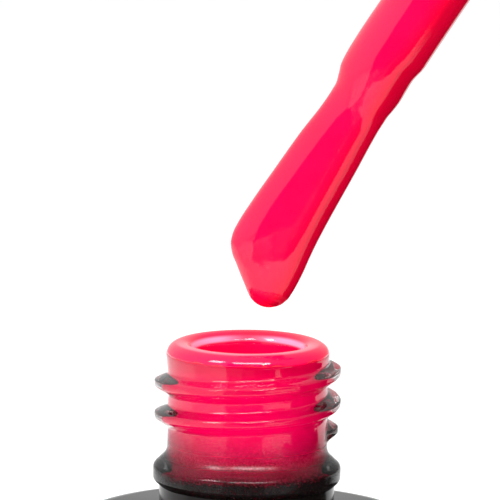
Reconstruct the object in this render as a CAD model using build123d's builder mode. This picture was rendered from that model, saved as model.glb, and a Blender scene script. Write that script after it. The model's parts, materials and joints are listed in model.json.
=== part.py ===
"""A gel nail polish bottle, opened: the brush and its cap are held, leaning, over the mouth.

Millimetres. +Z is up, the bottle's axis is Z and the bottle stands on z = 0. The brush leans
towards +X about the drop of polish at its tip.
"""

import os
from math import cos, radians, sin

from build123d import *

os.makedirs("parts", exist_ok=True)

# ---------------------------------------------------------------- driving dimensions
# Bottle
body_radius = 13.88
base_radius = 2.0
shoulder_height = 48.5
shoulder_edge = 47.94
shoulder_radius = 3.5
wall = 2.18
floor_top = 3.6
inner_round = 3.0
shoulder_drop = 2.7
push_up = 0.7
push_up_radius = 9.4
ring_inner_radius = 9.9

# Neck finish, measured down from the rim
rim_height = 60.5
neck_radius = 5.5
lower_neck_radius = 5.93
neck_foot_round = 0.8
bead_radius = 6.42
bead_top = 8.0
bead_bottom = 9.7
bead_flat = 0.8
bead_slope = 0.5
bore_radius = 3.85
bore_bottom = 13.3
bore_foot_round = 1.2
rim_outer_round = 0.75
rim_inner_round = 0.5

# Screw thread, the same pitch on the glass and in the cap
pitch = 2.33
thread_radius = 6.45
thread_base = 0.75
thread_crest = 0.3
thread_round = 0.3
thread_sunk = 0.2
thread_depth_at_x = 1.55
thread_turns = 2

# Skins and contents
lacquer = 0.1
gap = 0.02
film = 0.18
film_top = 0.55
film_foot = 1.3
fill_height = 38.0
label = 0.12
label_margin = 0.4

# Brush: heights run up the brush's axis from the centre of the drop at its tip
brush_lean = radians(32.4)
drop_centre = Vector(1.4, 0, 64.5)
drop_radius = 1.55
drop_seat = 0.04
axis_offset = 1.4
rod_radius = 1.8
rod_end = 14.7
socket_radius = 1.3
socket_depth = 4.0
seal_plane = 53.55
flange_radius = 4.9
flange = 1.0
washer_radius = 5.4
washer = 0.95
snap_height = 1.3
snap_lip = 0.45
snap_nose = 0.4
anchor_radius = 0.25
anchor_depth = 0.8
coat_top = 38.0

# Cap
clearance = 0.05
spigot_radius = 1.99
plate = 1.2
skirt_bore = 6.7
skirt_radius = 7.2
skirt_length = 10.5
ridge_radius = 5.85
ridge_turns = 1.75
knurl_radius = 0.22
knurl_count = 16
cap_length = 38.0
cap_low = 41.1
cap_low_radius = 8.6
cap_top_radius = 7.7
cap_wall = 1.2
cap_roof = 1.6
dot_radius = 4.5
dot_recess = 0.2
dot_thickness = 0.14

# ---------------------------------------------------------------- planes and axes
up_brush = Vector(sin(brush_lean), 0, cos(brush_lean))
across_brush = Vector(cos(brush_lean), 0, -sin(brush_lean))
brush_foot = drop_centre - across_brush * axis_offset
brush = Plane(origin=brush_foot, x_dir=across_brush, z_dir=up_brush)
brush_profile = Plane(origin=brush_foot, x_dir=across_brush, z_dir=(0, -1, 0))
brush_axis = Axis(brush_foot, up_brush)


def outer_shape(skin, top):
    """Half the section of the bottle's outside below the neck, grown by a skin, up to a height."""
    with BuildSketch(Plane.XZ) as shape:
        with BuildLine():
            FilletPolyline(
                (0, -skin),
                (body_radius + skin, -skin),
                (body_radius + skin, shoulder_edge + skin),
                (lower_neck_radius + skin, shoulder_height + skin),
                (lower_neck_radius + skin, top),
                (0, top),
                radius=[base_radius + skin, shoulder_radius + skin, neck_foot_round - skin, 0],
            )
            Line((0, top), (0, -skin))
        make_face()
    return shape.sketch


def inner_shape(shrink, top):
    """Half the section of the space inside the bottle, less a gap, up to a height."""
    with BuildSketch(Plane.XZ) as shape:
        with BuildLine():
            FilletPolyline(
                (0, floor_top + shrink),
                (body_radius - wall - shrink, floor_top + shrink),
                (body_radius - wall - shrink, top),
                (0, top),
                radius=[inner_round - shrink, 0],
            )
            Line((0, top), (0, floor_top + shrink))
        make_face()
    return shape.sketch


# ---------------------------------------------------------------- bottle
def glass_section():
    """Half the section of the glass, from the push-up round the outside and down the bore."""
    bead_centre = rim_height - (bead_top + bead_bottom) / 2
    with BuildSketch(Plane.XZ) as shape:
        with BuildLine():
            FilletPolyline(
                (0, push_up),
                (push_up_radius, push_up),
                (ring_inner_radius, 0),
                (body_radius, 0),
                (body_radius, shoulder_edge),
                (lower_neck_radius, shoulder_height),
                (lower_neck_radius, rim_height - bead_bottom),
                (bead_radius, bead_centre - bead_flat / 2),
                (bead_radius, bead_centre + bead_flat / 2),
                (neck_radius, rim_height - bead_top + bead_slope),
                (neck_radius, rim_height),
                (bore_radius, rim_height),
                (bore_radius, rim_height - bore_bottom),
                (body_radius - wall, shoulder_edge - shoulder_drop),
                (body_radius - wall, floor_top),
                (0, floor_top),
                radius=[0.2, 0.15, base_radius, shoulder_radius, neck_foot_round, 0.1, 0.35, 0.35]
                + [0.6, rim_outer_round, rim_inner_round, bore_foot_round, inner_round, inner_round],
            )
            Line((0, floor_top), (0, push_up))
        make_face()
    return shape.sketch


def thread_section(height):
    """The rounded section of the glass thread, sunk a little into the neck."""
    with BuildSketch(Plane.XZ) as shape:
        with BuildLine():
            FilletPolyline(
                (neck_radius - thread_sunk, height - thread_base),
                (thread_radius, height - thread_crest),
                (thread_radius, height + thread_crest),
                (neck_radius - thread_sunk, height + thread_base),
                radius=[0, thread_round, thread_round, 0],
                close=True,
            )
        make_face()
    return shape.sketch


thread_start = rim_height - thread_depth_at_x - thread_turns * pitch

with BuildPart() as glass_bottle:
    revolve(glass_section(), axis=Axis.Z)
    with BuildLine() as thread_path:
        Helix(pitch, thread_turns * pitch, neck_radius, center=(0, 0, thread_start))
    sweep(thread_section(thread_start), path=thread_path.line, is_frenet=True)
glass_bottle.part.label = "glass_bottle"
export_step(glass_bottle.part, "parts/glass_bottle.step")

lacquer_top = rim_height - bead_bottom - lacquer
with BuildPart() as lacquer_coat:
    revolve(outer_shape(gap + lacquer, lacquer_top), axis=Axis.Z)
    revolve(outer_shape(gap, lacquer_top), axis=Axis.Z, mode=Mode.SUBTRACT)
    with BuildSketch(Plane.XY.offset(-2 * lacquer)):
        Circle(body_radius + base_radius)
    extrude(amount=4 * lacquer, mode=Mode.SUBTRACT)
lacquer_coat.part.label = "lacquer_coat"
export_step(lacquer_coat.part, "parts/lacquer_coat.step")

with BuildPart() as polish_fill:
    revolve(inner_shape(gap, fill_height), axis=Axis.Z)
polish_fill.part.label = "polish_fill"
export_step(polish_fill.part, "parts/polish_fill.step")

film_low = rim_height - bore_bottom + film_foot
with BuildPart() as neck_polish_film:
    with BuildSketch(Plane.XY.offset(film_low)):
        Circle(bore_radius - gap)
        Circle(bore_radius - gap - film, mode=Mode.SUBTRACT)
    extrude(amount=rim_height - film_top - film_low)
neck_polish_film.part.label = "neck_polish_film"
export_step(neck_polish_film.part, "parts/neck_polish_film.step")

with BuildPart() as base_label:
    with BuildSketch(Plane.XY.offset(push_up - gap)):
        Circle(push_up_radius - label_margin)
    extrude(amount=-label)
base_label.part.label = "base_label"
export_step(base_label.part, "parts/base_label.step")

# ---------------------------------------------------------------- drop at the brush's tip
with BuildPart() as polish_bead:
    with Locations(drop_centre):
        Sphere(drop_radius)
polish_bead.part.label = "polish_bead"
export_step(polish_bead.part, "parts/polish_bead.step")

# ---------------------------------------------------------------- brush
flange_top = seal_plane + flange
plate_low = flange_top + clearance
plate_top = plate_low + plate
snap_top = plate_top + snap_height
taper_low = seal_plane - 6
taper_high = seal_plane - 4

with BuildPart() as brush_stem:
    with BuildSketch(brush_profile):
        with BuildLine():
            FilletPolyline(
                (0, rod_end + socket_depth),
                (socket_radius, rod_end + socket_depth),
                (socket_radius, rod_end),
                (rod_radius, rod_end),
                (rod_radius, taper_low),
                (spigot_radius, taper_high),
                (spigot_radius, seal_plane),
                (flange_radius, seal_plane),
                (flange_radius, flange_top),
                (spigot_radius, flange_top),
                (spigot_radius, plate_top + clearance),
                (spigot_radius + snap_lip, plate_top + clearance),
                (spigot_radius - snap_nose, snap_top),
                (0, snap_top),
                radius=[0, 0, 0.2, 0.5, 0.5, 0, 0.15, 0.15, 0, 0, 0.1, 0.3],
            )
            Line((0, snap_top), (0, rod_end + socket_depth))
        make_face()
    revolve(axis=brush_axis)
brush_stem.part.label = "brush_stem"
export_step(brush_stem.part, "parts/brush_stem.step")

# The brass pin lies across the socket, through the tuft's root
anchor_centre = brush_foot + up_brush * (rod_end + socket_depth - anchor_depth)
anchor_plane = Plane(origin=anchor_centre, x_dir=across_brush, z_dir=(0, 1, 0))
anchor_length = 2 * (socket_radius - 3 * clearance)

with BuildPart() as tuft_anchor:
    with BuildSketch(anchor_plane):
        Circle(anchor_radius)
    extrude(amount=anchor_length / 2, both=True)
tuft_anchor.part.label = "tuft_anchor"
export_step(tuft_anchor.part, "parts/tuft_anchor.step")

# Height, half width and half depth of the flat tuft, from the socket's mouth to its tip
tuft_step = 0.1
tuft_mouth = rod_end - tuft_step
bundle_radius = socket_radius - clearance
tuft_stations = (
    (tuft_mouth, bundle_radius, bundle_radius),
    (12.5, 1.5, 1.15),
    (9.0, 1.85, 1.0),
    (5.0, 2.1, 0.9),
    (3.0, 2.05, 0.85),
    (2.1, 1.6, 0.6),
)


def tuft_sections(grow):
    """Elliptical sections of the flat tuft, each grown by a gap."""
    sections = []
    for height, half_width, half_depth in tuft_stations:
        with BuildSketch(brush.offset(height)) as section:
            Ellipse(half_width + grow, half_depth + grow)
        sections.append(section.sketch)
    return sections


with BuildPart() as bristle_tuft:
    loft(tuft_sections(0))
    with BuildSketch(brush.offset(tuft_mouth)):
        Circle(bundle_radius)
    extrude(amount=tuft_step + socket_depth - clearance)
    with BuildSketch(anchor_plane):
        Circle(anchor_radius + clearance)
    extrude(amount=socket_radius, both=True, mode=Mode.SUBTRACT)
bristle_tuft.part.label = "bristle_tuft"
export_step(bristle_tuft.part, "parts/bristle_tuft.step")

# Height, left edge, right edge and depth of the polish along the tuft, across the brush
coat_stations = (
    (rod_end - gap, -2.3, 1.85, 3.7),
    (13.0, -2.35, 1.85, 3.5),
    (9.5, -2.6, 2.1, 3.1),
    (6.0, -2.75, 2.45, 2.9),
    (3.5, -2.82, 2.7, 2.9),
    (1.9, -2.75, 2.9, 3.1),
    (0.8, -2.25, 3.0, 3.3),
    (0.0, -1.3, 3.05, 3.4),
    (-0.6, -0.5, 2.95, 3.3),
    (-1.2, 0.45, 2.35, 1.85),
)

with BuildPart() as tuft_polish_coat:
    for height, left, right, depth in coat_stations:
        with BuildSketch(brush.offset(height)):
            with Locations(((left + right) / 2, 0)):
                Ellipse((right - left) / 2, depth / 2)
    loft()
    loft(tuft_sections(gap), mode=Mode.SUBTRACT)
    with BuildSketch(brush.offset(tuft_mouth)):
        Circle(bundle_radius + gap)
    extrude(amount=2 * tuft_step, mode=Mode.SUBTRACT)
    with Locations(drop_centre):
        Sphere(drop_radius + drop_seat, mode=Mode.SUBTRACT)
tuft_polish_coat.part.label = "tuft_polish_coat"
export_step(tuft_polish_coat.part, "parts/tuft_polish_coat.step")

# Height, radius and sideways shift of the thick coat round the rod
stem_coat_stations = (
    (rod_end + gap, 2.15, -0.2),
    (16.2, 2.48, -0.46),
    (20.0, 2.5, -0.46),
    (27.0, 2.45, -0.42),
    (34.0, 2.2, -0.2),
    (coat_top, 1.95, 0.0),
)

with BuildPart() as stem_polish_coat:
    for height, radius, shift in stem_coat_stations:
        with BuildSketch(brush.offset(height)):
            with Locations((shift, 0)):
                Circle(radius)
    loft()
    with BuildSketch(brush.offset(rod_end)):
        Circle(rod_radius + gap)
    extrude(amount=coat_top - rod_end, mode=Mode.SUBTRACT)
stem_polish_coat.part.label = "stem_polish_coat"
export_step(stem_polish_coat.part, "parts/stem_polish_coat.step")

with BuildPart() as seal_washer:
    with BuildSketch(brush.offset(seal_plane - clearance)):
        Circle(washer_radius)
        Circle(spigot_radius + clearance, mode=Mode.SUBTRACT)
    extrude(amount=-washer)
seal_washer.part.label = "seal_washer"
export_step(seal_washer.part, "parts/seal_washer.step")

# ---------------------------------------------------------------- cap
skirt_low = plate_low - skirt_length
skirt_round = 0.15
ridge_base = 0.45
ridge_crest = 0.22
ridge_sunk = 0.1

# Screwed down, the washer lies on the rim, and the cap's ridge runs midway between the glass threads
brush_foot_closed = rim_height - (seal_plane - clearance - washer)
ridge_low = thread_start - pitch / 2 - brush_foot_closed

with BuildPart() as inner_cap:
    with BuildSketch(brush_profile):
        with BuildLine():
            FilletPolyline(
                (spigot_radius + clearance, plate_low),
                (skirt_bore, plate_low),
                (skirt_bore, skirt_low),
                (skirt_radius, skirt_low),
                (skirt_radius, plate_top),
                (spigot_radius + clearance, plate_top),
                radius=[0, 2 * skirt_round, skirt_round, skirt_round, 2 * skirt_round, 0],
                close=True,
            )
        make_face()
    revolve(axis=brush_axis)
    with BuildLine() as ridge_path:
        ridge_foot = brush_foot + up_brush * ridge_low
        Helix(pitch, ridge_turns * pitch, skirt_bore, center=ridge_foot, direction=up_brush)
    with BuildSketch(brush_profile):
        with BuildLine():
            Polyline(
                (skirt_bore + ridge_sunk, ridge_low - ridge_base),
                (ridge_radius, ridge_low - ridge_crest),
                (ridge_radius, ridge_low + ridge_crest),
                (skirt_bore + ridge_sunk, ridge_low + ridge_base),
                close=True,
            )
        make_face()
    sweep(path=ridge_path.line, is_frenet=True)
    with BuildSketch(brush.offset(skirt_low + ridge_base)):
        with PolarLocations(skirt_radius, knurl_count):
            Circle(knurl_radius)
    extrude(amount=skirt_length)
inner_cap.part.label = "inner_cap"
export_step(inner_cap.part, "parts/inner_cap.step")

cap_top = cap_low + cap_length
cap_inside = cap_top - cap_roof
seat_radius = skirt_radius + knurl_radius + clearance
shelf = plate_top + clearance
recess_radius = dot_radius + clearance
recess_floor = cap_top - dot_recess

with BuildPart() as outer_cap:
    with BuildSketch(brush_profile):
        with BuildLine():
            FilletPolyline(
                (0, cap_inside),
                (cap_top_radius - cap_wall, cap_inside),
                (cap_top_radius - cap_wall, shelf),
                (seat_radius, shelf),
                (seat_radius, cap_low),
                (cap_low_radius, cap_low),
                (cap_top_radius, cap_top),
                (recess_radius, cap_top),
                (recess_radius, recess_floor),
                (0, recess_floor),
                radius=[1.0, 0, 0, 0.25, 0.3, 1.5, 0, 0],
            )
            Line((0, recess_floor), (0, cap_inside))
        make_face()
    revolve(axis=brush_axis)
outer_cap.part.label = "outer_cap"
export_step(outer_cap.part, "parts/outer_cap.step")

with BuildPart() as shade_dot:
    with BuildSketch(brush.offset(recess_floor + gap)):
        Circle(dot_radius)
    extrude(amount=dot_thickness)
shade_dot.part.label = "shade_dot"
export_step(shade_dot.part, "parts/shade_dot.step")
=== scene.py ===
import json
from math import cos, pi, radians, sin

import bpy
import numpy as np
from mathutils import Euler, Matrix, Vector, noise


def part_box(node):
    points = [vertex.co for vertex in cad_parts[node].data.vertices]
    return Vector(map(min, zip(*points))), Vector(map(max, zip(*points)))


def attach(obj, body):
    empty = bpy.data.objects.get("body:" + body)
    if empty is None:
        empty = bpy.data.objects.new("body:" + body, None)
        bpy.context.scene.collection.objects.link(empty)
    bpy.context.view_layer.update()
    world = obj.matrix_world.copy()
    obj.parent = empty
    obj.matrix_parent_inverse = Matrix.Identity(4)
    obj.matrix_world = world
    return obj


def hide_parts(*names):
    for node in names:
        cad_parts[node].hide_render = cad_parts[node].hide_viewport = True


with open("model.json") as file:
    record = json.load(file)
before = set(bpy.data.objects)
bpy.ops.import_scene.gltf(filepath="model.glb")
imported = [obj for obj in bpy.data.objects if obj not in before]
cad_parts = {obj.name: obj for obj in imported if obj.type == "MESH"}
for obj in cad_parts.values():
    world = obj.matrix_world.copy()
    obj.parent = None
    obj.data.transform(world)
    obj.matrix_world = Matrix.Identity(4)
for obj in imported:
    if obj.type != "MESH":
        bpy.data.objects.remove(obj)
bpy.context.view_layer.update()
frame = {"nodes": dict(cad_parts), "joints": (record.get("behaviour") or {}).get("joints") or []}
nodes = frame["nodes"]
joints = {joint["name"]: joint for joint in frame["joints"]}
mm = 0.001

# ---------------------------------------------------------------- places read from the frame
rim_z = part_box("glass_bottle")[1].z / mm
glass_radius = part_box("glass_bottle")[1].x / mm
lacquer_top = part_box("lacquer_coat")[1].z / mm
drop_centre = Vector(joints["brush_tilt"]["pos_m"])
bead_size = drop_centre.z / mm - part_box("polish_bead")[0].z / mm
brush_up = Vector(joints["cap_turn"]["axis"]).normalized()
brush_across = Vector((brush_up.z, 0, -brush_up.x))

# ---------------------------------------------------------------- driving dimensions, in millimetres
# The neck, as photographed
neck_radius = 5.5
lip_radius = 5.63
lip_round = 0.85
mouth_round = 0.75
lower_neck_radius = 5.93
bead_radius = 6.42
bore_radius = 3.85
crown_radius = bore_radius + mouth_round

# Heights on the neck, as depths below the rim
lip_foot = 2.2
thread_end = 7.6
bead_top = 7.68
bead_shoulder = 8.56
bead_heel = 9.5
bead_foot = 9.95
fine_mesh_depth = 11.5
bore_bottom = 13.3

# The body, which the photo does not show, as the CAD has it
push_up = 0.7
base_ring_radius = 9.9
shoulder_z = 47.94
lower_neck_z = 48.5
glass_wall = 2.18
floor_z = 3.6
inner_shoulder_z = 45.24
inner_round = 3.0

# The thread: its shape, the depth of its start below the rim, and its length and fades in turns
pitch = 2.218
thread_radius = 6.43
thread_flat = 0.14
thread_upper_foot = 0.68
thread_lower_foot = 1.02
thread_depth = 1.77
thread_lean = 0.09
thread_turns = 1.96
thread_fade_in = 38 / 360
thread_fade_out = 28 / 360
thread_thin_end = 0.55

# Marks that the mould leaves in the glass
seam_angle = radians(-78.7)
seam_width = 0.02
seam_height = 0.035
mould_mark_size = 1.3
mould_mark_height = 0.018

# Polish on the glass: its thickness, its depth down the bore, its reach along the lip from the
# crown, and how far before these ends it thins
film = 0.16
lip_film = 0.03
least_film = 0.002
film_overlap = 0.02
film_ripple = 0.25
lining_depth = 13.0
lining_reach = 1.36
lining_reach_drift = 0.14
bore_film_fade = 1.6
lip_film_fade = 0.5

# The edge of the lacquer: how far it stands off the glass and laps over the coat, and, as depths
# below the rim, where it ends, where it thins out and where its dust roughens the glass
spray_base = 0.012
spray_top = 0.06
spray_overlap = 0.3
spray_end = 4.8
spray_dense = 9.4
spray_clear = 5.0
dust_low = 9.0
dust_high = 6.0

# Polish on the brush
bead_depth = 0.9
coat_swell = 0.012

# Fineness of the meshes
around = 240
rim_steps = 14
lining_rings = 170
coat_sides = 160
coat_step = 0.3
fine_coat_step = 0.08
fine_coat_below = 17.0
bead_sides = 96
bead_rings = 49


# ---------------------------------------------------------------- mesh helpers
def smooth(low, high, x):
    """0 below low, 1 above high, and a smooth step between them."""
    t = np.clip((np.asarray(x, float) - low) / (high - low), 0, 1)
    return t * t * (3 - 2 * t)


def rounded(corners, arc_points=9):
    """A profile (r, z) through corners (r, z, rounding), with an arc at each rounded one."""
    points = []
    for i, (r, z, rounding) in enumerate(corners):
        here = Vector((r, z))
        if rounding == 0:
            points.append(here)
            continue
        before = (Vector(corners[i - 1][:2]) - here).normalized()
        after = (Vector(corners[i + 1][:2]) - here).normalized()
        half = before.angle(after) / 2
        centre = here + (before + after).normalized() * (rounding / sin(half))
        start = here + before * (rounding / np.tan(half)) - centre
        end = here + after * (rounding / np.tan(half)) - centre
        turn = start.angle_signed(end)
        for k in range(arc_points):
            angle = -turn * k / (arc_points - 1)
            points.append(centre + Matrix.Rotation(angle, 2) @ start)
    return [(p.x, p.y) for p in points]


def subdivided(points, fine_above, fine=0.09, coarse=2.5):
    """The same profile with no stretch longer than fine, above a height, or coarse, below it."""
    out = [points[0]]
    for (r0, z0), (r1, z1) in zip(points, points[1:]):
        longest = fine if max(z0, z1) > fine_above else coarse
        count = max(1, int(np.ceil(np.hypot(r1 - r0, z1 - z0) / longest)))
        for k in range(1, count + 1):
            out.append((r0 + (r1 - r0) * k / count, z0 + (z1 - z0) * k / count))
    return out


def skin(name, rings, loop=False):
    """A closed mesh over rings of points in millimetres.

    The ends are closed by fans, or in a loop the last ring is joined to the first.
    """
    rings = np.asarray(rings, float)
    count, sides = rings.shape[:2]
    verts = [tuple(p) for p in (rings.reshape(-1, 3) * mm)]
    faces = []
    spans = count if loop else count - 1
    for i in range(spans):
        a, b = i * sides, ((i + 1) % count) * sides
        for k in range(sides):
            n = (k + 1) % sides
            faces.append((a + k, a + n, b + n, b + k))
    if not loop:
        for row, flip in ((0, False), (count - 1, True)):
            centre = len(verts)
            verts.append(tuple(rings[row].mean(0) * mm))
            for k in range(sides):
                a, b = row * sides + k, row * sides + (k + 1) % sides
                faces.append((centre, a, b) if flip else (centre, b, a))
    mesh = bpy.data.meshes.new(name)
    mesh.from_pydata(verts, [], faces)
    mesh.validate()
    mesh.shade_smooth()
    return linked(name, mesh)


def linked(name, data):
    """A new object in the scene with this mesh, light or camera."""
    made = bpy.data.objects.new(name, data)
    bpy.context.scene.collection.objects.link(made)
    return made


def outwards(piece):
    """Turns the faces of a closed piece outwards."""
    mesh = piece.data
    volume = sum(mesh.vertices[p.vertices[0]].co.dot(p.normal) * p.area for p in mesh.polygons)
    if volume < 0:
        mesh.flip_normals()
    return piece


def wave(point, scale, seed=0.0):
    """Smooth noise from about -1 to 1, for a point in millimetres and features of a size."""
    return noise.noise(Vector(point) / scale + Vector((seed, 0, 0)))


# ---------------------------------------------------------------- bottle
angles = np.arange(around) * 2 * pi / around
neck_foot = rim_z - fine_mesh_depth


def thread_rise(z):
    """How far the thread lifts the glass at each angle round the neck, from 0 to 1."""
    down = (-angles % (2 * pi)) / (2 * pi)
    rise = np.zeros(around)
    for turn in range(-1, 3):
        along = down + turn
        centre = rim_z - thread_depth - pitch * along - thread_lean * np.cos(angles)
        shown = smooth(-thread_fade_in, 0, along)
        shown = shown * (1 - smooth(thread_turns, thread_turns + thread_fade_out, along))
        above = (z - centre) / (thread_thin_end + (1 - thread_thin_end) * shown)
        upper = 1 - smooth(thread_flat, thread_upper_foot, above)
        lower = 1 - smooth(thread_flat, thread_lower_foot, -above)
        ridge = np.where(above > 0, upper, lower)
        rise = np.maximum(rise, ridge * shown)
    return rise


def seam_rise():
    """The faint ridge that the two halves of the mould leave down the glass."""
    rise = np.zeros(around)
    for seam in (seam_angle, seam_angle + pi):
        away = np.abs((angles - seam + pi) % (2 * pi) - pi)
        rise += seam_height * np.exp(-((away / seam_width) ** 2))
    return rise


def outer_profile():
    """The outside of the bottle from the middle of its base to the widest point of the lip."""
    return rounded(
        [
            (0.01, push_up, 0),
            (base_ring_radius - 0.5, push_up, 0.2),
            (base_ring_radius, 0, 0.15),
            (glass_radius, 0, 2.0),
            (glass_radius, shoulder_z, 3.5),
            (lower_neck_radius, lower_neck_z, 0.8),
            (lower_neck_radius, rim_z - bead_foot, 0.12),
            (bead_radius, rim_z - bead_heel, 0.42),
            (bead_radius, rim_z - bead_shoulder, 0.5),
            (neck_radius, rim_z - bead_top, 1.1),
            (neck_radius, rim_z - lip_foot, 1.5),
            (lip_radius, rim_z - lip_round, 0),
        ]
    )


def rim_profile():
    """Over the lip, from its widest point to the bore."""
    out = []
    for k in range(1, 2 * rim_steps + 1):
        angle = pi * k / (2 * rim_steps)
        width, drop = mouth_round, mouth_round
        if k <= rim_steps:
            width, drop = lip_radius - crown_radius, lip_round
        out.append((crown_radius + width * cos(angle), rim_z - drop + drop * sin(angle)))
    return out


def bore_profile():
    """Down the bore and round the inside to the middle of the floor."""
    inner_radius = glass_radius - glass_wall
    return rounded(
        [
            (bore_radius, rim_z - mouth_round, 0),
            (bore_radius, rim_z - bore_bottom, 1.2),
            (inner_radius, inner_shoulder_z, inner_round),
            (inner_radius, floor_z, inner_round),
            (0.01, floor_z, 0),
        ]
    )


outside = subdivided(outer_profile() + rim_profile()[:rim_steps], neck_foot)
inside = subdivided(rim_profile()[rim_steps - 1:] + bore_profile()[1:], neck_foot)


def ring(radius, z):
    """One level ring round the bottle's axis, of one radius or of one for each angle."""
    return np.column_stack((radius * np.cos(angles), radius * np.sin(angles), np.full(around, z)))


def outer_ring(r, z, proud=0.0):
    """One ring of the outside of the glass, with its thread, seam and mould marks."""
    radius = np.full(around, r)
    if z > rim_z - thread_end:
        radius += (thread_radius - r) * thread_rise(z)
    if z > neck_foot:
        radius += seam_rise() * smooth(neck_foot, neck_foot + 2, z)
        uneven = [wave((r * cos(a), r * sin(a), z), mould_mark_size, 5.0) for a in angles]
        radius += mould_mark_height * np.array(uneven)
    radius += proud
    return ring(radius, z)


def make_glass():
    """The bottle: up the outside, over the lip, down the bore and round the inside."""
    rings = [outer_ring(r, z) for r, z in outside]
    rings += [ring(r, z) for r, z in inside[1:]]
    return outwards(skin("clear_glass", rings))


def make_lining():
    """The film of polish that wets the bore and climbs unevenly over the lip."""
    lip = [p for p in outside if p[1] > rim_z - lip_round - 0.5][::-1]
    path = np.array([p for p in inside if p[1] > rim_z - lining_depth][::-1] + lip[1:])
    along = np.concatenate(([0], np.cumsum(np.hypot(*np.diff(path, axis=0).T))))
    slope = np.gradient(path, along, axis=0)
    crown = along[np.argmax(path[:, 1])]
    drift = np.array([wave((5 * cos(a), 5 * sin(a), 0), 2.2, 4.0) for a in angles])
    ends = crown + lining_reach + lining_reach_drift * drift
    wet, dry = [], []
    for step in np.linspace(0, 1, lining_rings):
        at = ends * step
        r, z = (np.interp(at, along, path[:, k]) for k in (0, 1))
        dr, dz = (np.interp(at, along, slope[:, k]) for k in (0, 1))
        in_bore = film * (1 - smooth(crown - bore_film_fade, crown, at))
        on_lip = lip_film * (1 - smooth(ends - lip_film_fade, ends, at))
        ripple = [wave((4 * cos(a), 4 * sin(a), h * 0.4), 1.6, 9.0) for a, h in zip(angles, z)]
        thick = (in_bore + on_lip + least_film) * (1 + film_ripple * np.array(ripple))
        for rings, away in ((wet, -film_overlap), (dry, thick)):
            rings.append(ring(r - away * dz, z + away * dr))
    lining = outwards(skin("neck_polish_lining", wet + dry[::-1], loop=True))
    lining.data.materials.append(lip_polish_painted_light)
    lining.data.materials.append(polish_on_glass_painted_glow)
    for i, face in enumerate(lining.data.polygons):
        face.material_index = 1 if i < (len(wet) - 1) * around else 0
    return lining


def make_overspray():
    """The thin, speckled edge of the black lacquer, over the bead and up the neck."""
    low, high = lacquer_top - spray_overlap, rim_z - spray_end
    band = [(r, z) for r, z in outside if low < z < high and r < bead_radius + 0.1]
    outer = [outer_ring(r, z, spray_top) for r, z in band]
    inner = [outer_ring(r, z, spray_base) for r, z in band]
    return outwards(skin("lacquer_overspray", outer + inner[::-1], loop=True))


# ---------------------------------------------------------------- brush
# Height up the brush from the drop's centre, left edge, right edge, half depth and squareness
# of the polish that wraps the stem and the flat tuft, in the brush's own frame
coat_stations = (
    (38.3, -3.3, 0.5, 1.9, 2.0),
    (36.0, -3.5, 0.66, 2.1, 2.0),
    (32.0, -3.9, 0.75, 2.35, 2.0),
    (27.0, -4.15, 0.78, 2.5, 2.0),
    (22.0, -4.35, 0.72, 2.58, 2.0),
    (18.5, -4.42, 0.72, 2.62, 2.0),
    (17.2, -4.4, 0.52, 2.59, 2.0),
    (16.4, -4.36, 0.54, 2.48, 2.0),
    (15.6, -4.26, 0.57, 2.28, 2.0),
    (14.9, -4.02, 0.52, 2.08, 2.0),
    (14.1, -3.8, 0.43, 1.86, 2.0),
    (13.3, -3.78, 0.43, 1.68, 2.02),
    (12.5, -3.8, 0.47, 1.62, 2.05),
    (10.0, -4.0, 0.68, 1.63, 2.1),
    (7.0, -4.1, 0.9, 1.66, 2.2),
    (4.6, -4.2, 1.12, 1.68, 2.35),
    (3.2, -4.22, 1.3, 1.63, 2.4),
    (2.1, -4.16, 1.48, 1.53, 2.35),
    (1.2, -3.92, 1.58, 1.37, 2.3),
    (0.5, -3.38, 1.62, 1.22, 2.2),
    (0.0, -2.7, 1.62, 1.09, 2.1),
    (-0.5, -2.0, 1.5, 0.94, 2.0),
    (-0.9, -1.42, 1.28, 0.78, 2.0),
    (-1.2, -1.0, 0.95, 0.55, 2.0),
)


def through(stations, height):
    """A smooth value of each column of the stations at a height, by a monotone cubic."""
    table = np.array(stations)[::-1]
    h = table[:, 0]
    i = int(np.clip(np.searchsorted(h, height) - 1, 0, len(h) - 2))
    span = h[i + 1] - h[i]
    t = (height - h[i]) / span
    slopes = np.diff(table[:, 1:], axis=0) / np.diff(h)[:, None]

    def tangent(k):
        if k == 0 or k == len(h) - 1:
            return slopes[min(k, len(slopes) - 1)]
        a, b = slopes[k - 1], slopes[k]
        return np.where(a * b > 0, 2 * a * b / np.where(a + b == 0, 1, a + b), 0)

    t2, t3 = t * t, t * t * t
    return (
        (2 * t3 - 3 * t2 + 1) * table[i, 1:]
        + (t3 - 2 * t2 + t) * span * tangent(i)
        + (3 * t2 - 2 * t3) * table[i + 1, 1:]
        + (t3 - t2) * span * tangent(i + 1)
    )


def brush_point(x, y, height):
    """A point in the brush's own frame, in millimetres in the shared frame."""
    place = drop_centre / mm + brush_across * x + Vector((0, y, 0)) + brush_up * height
    return tuple(place)


def make_brush_coat():
    """One skin of wet polish over the stem and the tuft."""
    top, bottom = coat_stations[0][0], coat_stations[-1][0]
    coarse = list(np.arange(top, fine_coat_below, -coat_step))
    fine = list(np.arange(fine_coat_below, bottom, -fine_coat_step))
    turn = np.arange(coat_sides) * 2 * pi / coat_sides
    c, s = np.cos(turn), np.sin(turn)
    rings = []
    for height in coarse + fine + [bottom]:
        left, right, depth, square = through(coat_stations, height)
        mid = (left + right) / 2
        x = mid + (right - left) / 2 * np.sign(c) * np.abs(c) ** (2 / square)
        y = depth * np.sign(s) * np.abs(s) ** (2 / square)
        points = []
        for px, py in zip(x, y):
            swell = 1 + coat_swell * wave((px, py, height * 0.35), 1.8, 3.0)
            points.append(brush_point(mid + (px - mid) * swell, py * swell, height))
        rings.append(points)
    return outwards(skin("brush_polish", rings))


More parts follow.
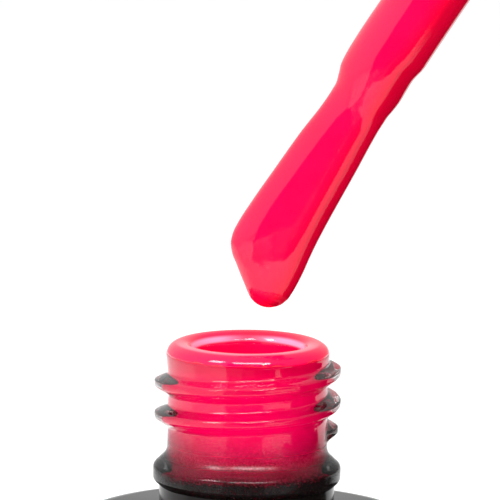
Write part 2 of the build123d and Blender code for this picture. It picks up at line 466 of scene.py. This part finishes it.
def make_bead():
    """The bead of polish at the brush's tip: round about its tilt axis, and flatter front to back."""
    turn = np.arange(bead_sides) * 2 * pi / bead_sides
    rings = []
    for across in np.linspace(-1, 1, bead_rings)[1:-1]:
        y, r = bead_depth * sin(across * pi / 2), bead_size * cos(across * pi / 2)
        rings.append([tuple(drop_centre / mm + Vector((r * cos(a), y, r * sin(a)))) for a in turn])
    return outwards(skin("hanging_bead", rings))


# ---------------------------------------------------------------- node helpers
def material(name):
    """A new node material: its tree, its shader and a maker of nodes."""
    made = bpy.data.materials.new(name)
    made.use_nodes = True
    tree = made.node_tree
    shader = tree.nodes["Principled BSDF"]

    def add(kind, inputs=(), **settings):
        node = tree.nodes.new(kind)
        for key, value in settings.items():
            setattr(node, key, value)
        for key, value in dict(inputs).items():
            if isinstance(value, bpy.types.NodeSocket):
                tree.links.new(value, node.inputs[key])
            else:
                node.inputs[key].default_value = value
        return node

    return made, tree, shader, add


def place_of(add):
    """Where a point lies in the shared frame, in metres."""
    return add("ShaderNodeTexCoord").outputs["Object"]


def axes_of(add, place):
    """The X, Y and Z of a place, by their letters."""
    return add("ShaderNodeSeparateXYZ", {"Vector": place}).outputs


def noise_of(add, place, scale, detail):
    """A noise from 0 to 1."""
    texture = add("ShaderNodeTexNoise", {"Vector": place, "Scale": scale, "Detail": detail})
    return texture.outputs["Fac"]


def ranged(add, value, span, out=(0.0, 1.0), ease="LINEAR"):
    """A value carried from one range to another, and kept inside it."""
    ends = {"From Min": span[0], "From Max": span[1], "To Min": out[0], "To Max": out[1]}
    carried = add("ShaderNodeMapRange", {"Value": value, **ends}, interpolation_type=ease)
    return carried.outputs["Result"]


def size_of(add, value):
    """A value without its sign."""
    return add("ShaderNodeMath", {0: value}, operation="ABSOLUTE").outputs["Value"]


def product(add, a, b, **settings):
    """One value times another."""
    return add("ShaderNodeMath", {0: a, 1: b}, operation="MULTIPLY", **settings).outputs["Value"]


def faded(add, *steps):
    """The product of smooth steps, each of a value from where it is 0 to where it is 1, in millimetres."""
    amounts = [
        ranged(add, value, (start * mm, end * mm), ease="SMOOTHSTEP") for value, start, end in steps
    ]
    whole = amounts[0]
    for amount in amounts[1:]:
        whole = product(add, whole, amount)
    return whole


def mixed(add, amount, under, over):
    """A colour with another over it by an amount."""
    return add("ShaderNodeMix", {"Factor": amount, 6: under, 7: over}, data_type="RGBA").outputs[2]


def ramp(add, value, *stops):
    """A colour that follows a value, by stops (value, colour) in rising order."""
    node = add("ShaderNodeValToRGB", {"Fac": value})
    elements = node.color_ramp.elements
    for index in (0, -1):
        elements[index].position = stops[index][0]
        elements[index].color = (*stops[index][1], 1)
    for at, colour in stops[1:-1]:
        elements.new(at).color = (*colour, 1)
    return node.outputs["Color"]


def grey(value):
    """A colour without a hue."""
    return (value, value, value)


def bumped(tree, shader, add, height, distance, strength):
    """Feeds a height into the shader's normal."""
    bump = add("ShaderNodeBump", {"Height": height, "Strength": strength, "Distance": distance})
    tree.links.new(bump.outputs["Normal"], shader.inputs["Normal"])


def paint(piece, finish):
    """Gives a piece one material."""
    piece.data.materials.clear()
    piece.data.materials.append(finish)


# ---------------------------------------------------------------- materials
# Colours for the painted highlight inside the mouth and the painted reflection on the lip's front
painted_highlight_pink = (1.0, 0.28, 0.46, 1)
painted_reflection_pink = (0.96, 0.12, 0.18, 1)
# Colour of the painted shade on the underside of the brush's polish
painted_shade_colour = (0.0, 0.0, 0.0, 1)
# A painted glow that lightens the polish seen through the glass
painted_glow_colour = (1.0, 0.0, 0.08, 1)
painted_glow_strength = 0.06
wet_roughness = 0.04
hidden_roughness = 0.5
polish_ior = 1.48
glass_ior = 1.5


def with_painted_mouth_light(add, place, colour):
    """Polish with a painted highlight in a band inside the mouth, and a painted reflection on the lip's
    front.
    """
    axes = axes_of(add, place)
    level = add("ShaderNodeCombineXYZ", {"X": axes["X"], "Y": axes["Y"]})
    flat = add("ShaderNodeVectorMath", {0: level.outputs["Vector"]}, operation="LENGTH")
    out = flat.outputs["Value"]
    # Painted highlight: a paler band of heights inside the mouth, strongest to the left and right
    inner = faded(
        add,
        (axes["Z"], rim_z - 0.68, rim_z - 0.5),
        (axes["Z"], rim_z - 0.14, rim_z - 0.36),
        (out, bore_radius + 0.4, bore_radius + 0.2),
    )
    patch = ranged(add, size_of(add, axes["X"]), (0.0, 2.2 * mm), (0.25, 0.9), ease="SMOOTHSTEP")
    colour = mixed(add, product(add, inner, patch), colour, painted_highlight_pink)
    # Painted reflection: a paler ring on the lip's front, between the bore and the crown's outer side
    front = faded(
        add,
        (out, bore_radius + 0.1, bore_radius + 0.35),
        (out, crown_radius + 0.5, crown_radius + 0.2),
        (axes["Y"], 1.0, -2.0),
    )
    return mixed(add, front, colour, painted_reflection_pink)


def with_painted_underside_shade(add, colour):
    """Polish with painted shade: darker on the underside of the leaning brush."""
    facing = add("ShaderNodeTexCoord").outputs["Normal"]
    below = add("ShaderNodeVectorMath", {0: facing, 1: brush_across}, operation="DOT_PRODUCT")
    depth = ranged(add, below.outputs["Value"], (-0.1, 0.62), (0.0, 0.6), ease="SMOOTHSTEP")
    return mixed(add, depth, colour, painted_shade_colour)


def polish_material(name, blue, under_glass_painted_glow=False, lip_with_painted_light=False, underside_painted_shade=False):
    """Gel polish, in the open or seen through the glass that it wets, where it is given a painted glow."""
    made, tree, shader, add = material(name)
    place = place_of(add)
    drift = noise_of(add, place, 260.0, 3.0)
    deep, bright = (0.92, 0.0006, blue * 0.84), (0.98, 0.0012, blue)
    colour = ramp(add, drift, (0.35, deep), (0.7, bright))
    # Painted highlight and painted reflection on the polish over the lip
    if lip_with_painted_light:
        colour = with_painted_mouth_light(add, place, colour)
    # Painted shade, darker on the brush's underside
    if underside_painted_shade:
        colour = with_painted_underside_shade(add, colour)
    tree.links.new(colour, shader.inputs["Base Color"])
    # Polish seen through the glass gets a painted glow
    if under_glass_painted_glow:
        shader.inputs["Emission Color"].default_value = painted_glow_colour
        shader.inputs["Emission Strength"].default_value = painted_glow_strength
    shader.inputs["Roughness"].default_value = hidden_roughness if under_glass_painted_glow else wet_roughness
    shader.inputs["IOR"].default_value = polish_ior
    shader.inputs["Specular IOR Level"].default_value = 0.0 if under_glass_painted_glow else 0.5
    flow = noise_of(add, place, 420.0, 2.0)
    bumped(tree, shader, add, flow, 0.02 * mm, 0.1 if lip_with_painted_light else 0.35)
    return made


def glass_material():
    """Clear glass, dusted with dry overspray over the bead and just above it."""
    made, tree, shader, add = material("bottle_glass")
    place = place_of(add)
    shader.inputs["Base Color"].default_value = (0.985, 0.995, 0.99, 1)
    shader.inputs["Transmission Weight"].default_value = 1.0
    shader.inputs["IOR"].default_value = glass_ior
    level = ranged(add, axes_of(add, place)["Z"], ((rim_z - dust_low) * mm, (rim_z - dust_high) * mm))
    dust = ramp(add, level, (0.22, grey(0)), (0.36, grey(0.28)), (0.64, grey(0.28)), (0.95, grey(0)))
    tree.links.new(dust, shader.inputs["Roughness"])
    ripple = noise_of(add, place, 900.0, 2.0)
    bumped(tree, shader, add, ripple, 0.02 * mm, 0.5)
    return made


def lacquer_material(name, cover=None):
    """Sprayed black lacquer with a fine orange peel, whole or with a cover that thins it out."""
    made, tree, shader, add = material(name)
    place = place_of(add)
    dust = noise_of(add, place, 90.0, 5.0)
    shade = ramp(add, dust, (0.0, (0.003, 0.002, 0.002)), (1.0, (0.008, 0.0055, 0.0055)))
    tree.links.new(shade, shader.inputs["Base Color"])
    gloss = ranged(add, dust, (0.3, 0.75), (0.11, 0.2))
    tree.links.new(gloss, shader.inputs["Roughness"])
    shader.inputs["Specular IOR Level"].default_value = 0.17
    peel = noise_of(add, place, 1400.0, 2.0)
    bumped(tree, shader, add, peel, 0.01 * mm, 0.35)
    if cover:
        tree.links.new(cover(add, place), shader.inputs["Alpha"])
    return made


def overspray_cover(add, place):
    """How much of the glass the edge of the lacquer hides: less with height, and broken into specks."""
    rise = ranged(add, axes_of(add, place)["Z"], ((rim_z - spray_dense) * mm, (rim_z - spray_clear) * mm))
    cloud = ranged(add, noise_of(add, place, 260.0, 1.0), (0.0, 1.0), (-0.07, 0.07))
    level = add("ShaderNodeMath", {0: rise, 1: cloud}, operation="ADD").outputs["Value"]
    covers = (
        (0.08, 1), (0.16, 0.6), (0.24, 0.32), (0.34, 0.18),
        (0.57, 0.18), (0.73, 0.08), (0.88, 0.01), (1.0, 0),
    )
    fall = ramp(add, level, *((at, grey(cover)) for at, cover in covers))
    speck = ranged(add, noise_of(add, place, 7000.0, 2.0), (0.3, 0.7), (0.6, 1.4))
    return product(add, fall, speck, use_clamp=True)


def plastic_material(name, dark, light, rough, spread, depth, scale=1200.0):
    """Moulded plastic, foam or paper: a little colour drift, a roughness that varies and a fine grain.

    Roughness runs from rough to rough times spread. The grain's depth is in millimetres.
    """
    made, tree, shader, add = material(name)
    place = place_of(add)
    drift = noise_of(add, place, 160.0, 4.0)
    tree.links.new(ramp(add, drift, (0.3, dark), (0.72, light)), shader.inputs["Base Color"])
    gloss = ranged(add, drift, (0.3, 0.7), (rough, rough * spread))
    tree.links.new(gloss, shader.inputs["Roughness"])
    grain = noise_of(add, place, scale, 3.0)
    bumped(tree, shader, add, grain, depth * mm, 0.5)
    return made


def brass_material():
    """Drawn brass wire."""
    made, tree, shader, add = material("drawn_brass")
    drawn = noise_of(add, place_of(add), 3000.0, 3.0)
    shade = ramp(add, drawn, (0.0, (0.55, 0.38, 0.14)), (1.0, (0.8, 0.6, 0.28)))
    tree.links.new(shade, shader.inputs["Base Color"])
    shader.inputs["Metallic"].default_value = 1.0
    shader.inputs["Roughness"].default_value = 0.3
    return made


polish = polish_material("polish_gel", 0.044)
# The lip's polish carries a painted highlight and a painted reflection
lip_polish_painted_light = polish_material("polish_lip_painted_light", 0.056, lip_with_painted_light=True)
# The polish under the glass carries a painted glow
polish_on_glass_painted_glow = polish_material("polish_on_glass_painted_glow", 0.1, under_glass_painted_glow=True)
# The brush's polish carries painted shade on its underside
polish_on_brush_painted_shade = polish_material("polish_on_brush_painted_shade", 0.043, underside_painted_shade=True)
glass = glass_material()
lacquer = lacquer_material("black_lacquer")
speckle = lacquer_material("lacquer_speckle", overspray_cover)
brass = brass_material()
cap_gloss = plastic_material(
    "cap_gloss", (0.006, 0.006, 0.0065), (0.013, 0.012, 0.013), rough=0.07, spread=1.8, depth=0.004
)
cap_matte = plastic_material(
    "cap_matte", (0.02, 0.02, 0.021), (0.035, 0.035, 0.036), rough=0.42, spread=1.25, depth=0.03
)
stem_black = plastic_material(
    "stem_satin", (0.012, 0.012, 0.013), (0.022, 0.022, 0.023), rough=0.3, spread=1.3, depth=0.02
)
nylon = plastic_material(
    "nylon_bristle", grey(0.012), grey(0.05), rough=0.4, spread=1.2, depth=0.04, scale=6000.0
)
foam = plastic_material(
    "foam_washer", (0.72, 0.72, 0.7), (0.86, 0.86, 0.84), rough=0.6, spread=1.2, depth=0.04, scale=2600.0
)
paper = plastic_material(
    "label_paper", (0.78, 0.78, 0.76), (0.88, 0.88, 0.86), rough=0.65, spread=1.2, depth=0.02, scale=4000.0
)
dot_print = plastic_material(
    "shade_print", (0.9, 0.002, 0.09), (1.0, 0.004, 0.115), rough=0.12, spread=1.4, depth=0.01
)

for node, finish in (
    ("glass_bottle", glass), ("lacquer_coat", lacquer), ("polish_fill", polish),
    ("neck_polish_film", polish), ("base_label", paper), ("polish_bead", polish),
    ("brush_stem", stem_black), ("tuft_anchor", brass), ("bristle_tuft", nylon),
    ("stem_polish_coat", polish), ("tuft_polish_coat", polish), ("seal_washer", foam),
    ("inner_cap", cap_matte), ("outer_cap", cap_gloss), ("shade_dot", dot_print),
):
    paint(nodes[node], finish)

# ---------------------------------------------------------------- pieces
for piece, finish, body, slot, stood_for in (
    (make_glass(), glass, "bottle", "glass", ("glass_bottle",)),
    (make_lining(), None, "bottle", "polish", ("neck_polish_film",)),
    (make_overspray(), speckle, "bottle", "black_lacquer", ()),
    (make_brush_coat(), polish_on_brush_painted_shade, "brush", "polish", ("stem_polish_coat", "tuft_polish_coat")),
    (make_bead(), polish, "drop", "polish", ("polish_bead",)),
):
    if finish:
        paint(piece, finish)
    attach(piece, body)
    if stood_for:
        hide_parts(*stood_for)


# ---------------------------------------------------------------- studio, in metres and degrees
mouth = Vector((0, 0, rim_z * mm))
right, back, up = (1, 0, 0), (0, 1, 0), (0, 0, 1)
left_light = 1.3
right_light = 0.4
floor_glow = 0.28
floor_radius = 3.0
window_distance = 0.5
window_elevation = 42
window_height = 0.15


def card(name, centre, across, up, width, height, density=1.0, shows="glossy", blur=0.008):
    """A flat black card with soft edges, as dense as a number from 0 to 1 says, seen by one kind of ray."""
    w, h = width / 2, height / 2
    mesh = bpy.data.meshes.new(name)
    mesh.from_pydata([(-w, -h, 0), (w, -h, 0), (w, h, 0), (-w, h, 0)], [], [(0, 1, 2, 3)])
    made = linked(name, mesh)
    made.location = centre
    made.rotation_euler = Matrix((across, up, Vector(across).cross(up))).transposed().to_euler()
    finish, tree, shader, add = material(name)
    shader.inputs["Base Color"].default_value = (0, 0, 0, 1)
    shader.inputs["Roughness"].default_value = 1.0
    shader.inputs["Specular IOR Level"].default_value = 0.0
    axes = axes_of(add, place_of(add))
    inside = [
        ranged(add, size_of(add, axes[axis]), (half, half - blur), ease="SMOOTHSTEP")
        for axis, half in (("X", w), ("Y", h))
    ]
    cover = product(add, product(add, *inside), density)
    tree.links.new(cover, shader.inputs["Alpha"])
    paint(made, finish)
    made.visible_camera = False
    made.visible_shadow = False
    made.visible_diffuse = False
    made.visible_glossy = shows == "glossy"
    made.visible_transmission = shows == "transmission"


def softbox(name, azimuth, width, power):
    """A window seen from the mouth: azimuth 0 is towards the front, 90 to the right."""
    light = bpy.data.lights.new(name, "AREA")
    light.shape = "RECTANGLE"
    light.size, light.size_y = width, window_height
    light.energy = power
    a, e = radians(azimuth), radians(window_elevation)
    lamp = linked(name, light)
    lamp.location = mouth + window_distance * Vector((sin(a) * cos(e), -cos(a) * cos(e), sin(e)))
    lamp.rotation_euler = (mouth - lamp.location).to_track_quat("-Z", "Y").to_euler()


def make_floor():
    """The pale table, which glows a little as a lit sweep of paper does."""
    bpy.ops.mesh.primitive_circle_add(vertices=96, radius=floor_radius, fill_type="NGON")
    floor = bpy.context.object
    floor.name = "floor"
    finish, tree, shader, add = material("pale_floor")
    grain = noise_of(add, place_of(add), 30.0, 3.0)
    tree.links.new(ramp(add, grain, (0.0, grey(0.88)), (1.0, grey(0.92))), shader.inputs["Base Color"])
    shader.inputs["Roughness"].default_value = 0.9
    shader.inputs["Emission Color"].default_value = (1, 1, 1, 1)
    shader.inputs["Emission Strength"].default_value = floor_glow
    paint(floor, finish)


def make_world():
    """White to the camera, and for the light a room that is brighter on the left."""
    world = bpy.data.worlds.new("studio")
    bpy.context.scene.world = world
    world.use_nodes = True
    tree = world.node_tree
    seen = tree.nodes["Background"]
    seen.inputs["Strength"].default_value = 1.0
    seen.inputs["Color"].default_value = (1, 1, 1, 1)
    light = tree.nodes.new("ShaderNodeBackground")
    direction = tree.nodes.new("ShaderNodeTexCoord")
    parts = tree.nodes.new("ShaderNodeSeparateXYZ")
    tree.links.new(direction.outputs["Generated"], parts.inputs[0])
    side = tree.nodes.new("ShaderNodeMapRange")
    side.inputs["From Min"].default_value = -1.0
    side.inputs["To Min"].default_value = left_light
    side.inputs["To Max"].default_value = right_light
    tree.links.new(parts.outputs["X"], side.inputs["Value"])
    tree.links.new(side.outputs["Result"], light.inputs["Strength"])
    mix = tree.nodes.new("ShaderNodeMixShader")
    path = tree.nodes.new("ShaderNodeLightPath")
    tree.links.new(path.outputs["Is Camera Ray"], mix.inputs[0])
    tree.links.new(light.outputs[0], mix.inputs[1])
    tree.links.new(seen.outputs[0], mix.inputs[2])
    tree.links.new(mix.outputs[0], tree.nodes["World Output"].inputs["Surface"])


def make_camera():
    """The photo's own view: a long lens, a little above the rim."""
    elevation, roll, distance = radians(9.6), radians(0.6), 0.42
    seen_width = 34.32 * mm
    target = Vector((0.06 * mm, 0, (rim_z + 6.44) * mm))
    camera = bpy.data.cameras.new("camera")
    camera.sensor_width = 36.0
    camera.lens = camera.sensor_width * distance / seen_width
    camera.clip_start, camera.clip_end = 0.01, 10.0
    view = linked("camera", camera)
    view.location = target + distance * Vector((0, -cos(elevation), sin(elevation)))
    view.rotation_euler = Euler((pi / 2 - elevation, 0, 0))
    view.rotation_euler.rotate_axis("Z", roll)
    bpy.context.scene.camera = view


make_floor()
make_world()
make_camera()

softbox("key_window", azimuth=7, width=0.42, power=3.5)
softbox("side_window", azimuth=-53, width=0.16, power=1.35)

# What the polish, the glass and the lacquer mirror: dark cards before, beside and on the table.
# Each has its name, centre, two directions, width and height.
card("front_flag", (-0.0125, -0.115, 0.095), right, up, 0.115, 0.11)
card("neck_flag", (0.0125, -0.1155, 0.0275), right, up, 0.065, 0.055, density=0.88)
card("low_left_flag", (-0.04, -0.116, 0.0235), right, up, 0.06, 0.047, density=0.78)
card("low_front_flag", (0.061, -0.115, 0.011), right, up, 0.074, 0.022, blur=0.001)
card("near_flag", (0.042, -0.05, 0.0705), right, up, 0.048, 0.046, blur=0.001)
card("right_flag", (0.15, -0.003, 0.045), back, up, 0.145, 0.09)
card("right_table", (0.18, 0, 0.002), right, back, 0.144, 0.3)
card("back_table", (0.08, 0.056, 0.0025), right, back, 0.08, 0.19)
card("front_table", (-0.05, -0.45, 0.0015), right, back, 1.1, 0.9, density=0.42, blur=0.05)

# What is seen through the clear glass, which gives the threads their dark edges
card("dark_backdrop", (0, 0.16, 0.05), right, up, 0.36, 0.1, shows="transmission", blur=0.03)
card("dark_table", (0, 0.16, 0.001), right, back, 0.36, 0.3, shows="transmission", blur=0.05)

scene = bpy.context.scene
scene.view_settings.view_transform = "Standard"
scene.view_settings.look = "None"
scene.cycles.max_bounces = 16
scene.cycles.transmission_bounces = 16
